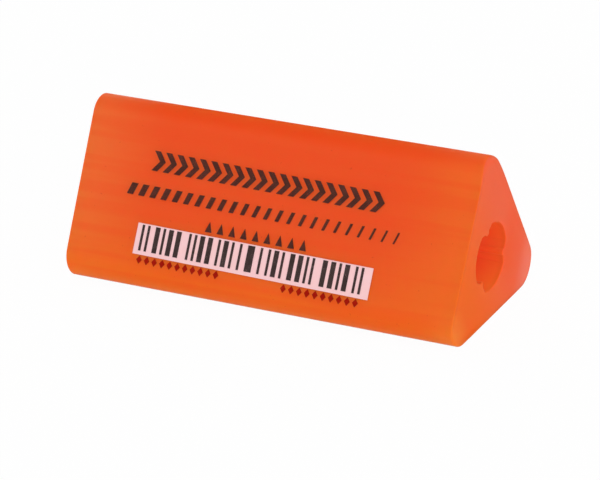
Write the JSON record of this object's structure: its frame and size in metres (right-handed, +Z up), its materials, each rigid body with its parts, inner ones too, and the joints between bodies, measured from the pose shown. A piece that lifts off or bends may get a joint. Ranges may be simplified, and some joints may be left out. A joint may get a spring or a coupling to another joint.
{
  "type": "triangular eraser",
  "caption": "Soft orange eraser block with flat faces, rounded long edges and a ribbed pencil hole along its length, printed on one face with rows of plain marks and a barred panel.",
  "frame": {"origin": "on the ground under the middle of the block, in the plane of the face it lies on", "axes": "+X along the block and its hole, +Z up from the face it lies on, and the printed face looks towards -Y and up"},
  "size_m": [0.05, 0.0212, 0.0195],
  "materials": {
    "vinyl": "matte translucent orange",
    "dark_ink": "matte dark brown",
    "pale_ink": "matte pale pink",
    "red_ink": "matte dark red"
  },
  "bodies": {
    "root": {"eraser_body": "vinyl", "headline_chevrons": "dark_ink", "fading_stripes": "dark_ink", "triangle_row_print": "dark_ink", "panel_film": "pale_ink", "panel_bars": "dark_ink", "left_diamonds": "red_ink", "right_diamonds": "red_ink"}
  },
  "joints": []
}
